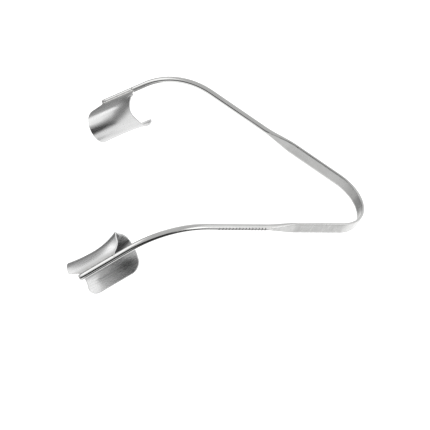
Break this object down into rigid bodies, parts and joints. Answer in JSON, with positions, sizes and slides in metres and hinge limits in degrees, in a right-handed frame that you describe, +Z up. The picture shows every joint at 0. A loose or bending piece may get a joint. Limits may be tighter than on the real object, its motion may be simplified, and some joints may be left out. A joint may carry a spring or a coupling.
{
  "type": "cheek retractor",
  "caption": "Self-retaining cheek retractor: a V-shaped spring bow of round wire rolled flat at the bend, with a channel-shaped cheek plate soldered to each end.",
  "frame": {"origin": "centre of the box that the retractor fills as it rests on a table, on the table's surface", "axes": "+Z up from the table, +X from the cheek plates towards the V bend, Y across the two arms"},
  "size_m": [0.1391, 0.1342, 0.0396],
  "materials": {
    "bow_steel": "drawn and rolled spring stainless, satin polished",
    "plate_steel": "pressed stainless sheet, bright satin polished",
    "silver_solder": "silver solder fillet, smooth as it froze"
  },
  "bodies": {
    "bend": {"spring_bend": "bow_steel"},
    "upper_arm": {"upper_spring_flat": "bow_steel", "upper_taper": "bow_steel", "upper_shank": "bow_steel", "upper_droop_bend": "bow_steel", "upper_plate_rod": "bow_steel", "upper_cheek_plate": "plate_steel", "upper_solder_seam": "silver_solder"},
    "lower_arm": {"lower_spring_flat": "bow_steel", "lower_taper": "bow_steel", "lower_shank": "bow_steel", "lower_droop_bend": "bow_steel", "lower_plate_rod": "bow_steel", "lower_cheek_plate": "plate_steel", "lower_solder_seam": "silver_solder"}
  },
  "joints": [
    {"name": "upper_arm_flex", "type": "hinge", "parent": "bend", "child": "upper_arm", "pos_m": [0.04642, 0.02362, 0.01245], "axis": [0.4001, 0, 0.9165], "range_deg": [-4, 12], "stiffness_Nm_per_rad": 1.7, "deforming": ["upper_spring_flat"]},
    {"name": "lower_arm_flex", "type": "hinge", "parent": "bend", "child": "lower_arm", "pos_m": [0.04642, -0.02362, 0.01245], "axis": [0.4001, 0, 0.9165], "range_deg": [-12, 4], "stiffness_Nm_per_rad": 1.7, "deforming": ["lower_spring_flat"]}
  ],
  "couplings": [
    {"joint": "lower_arm_flex", "follows": "upper_arm_flex", "ratio": -1}
  ]
}
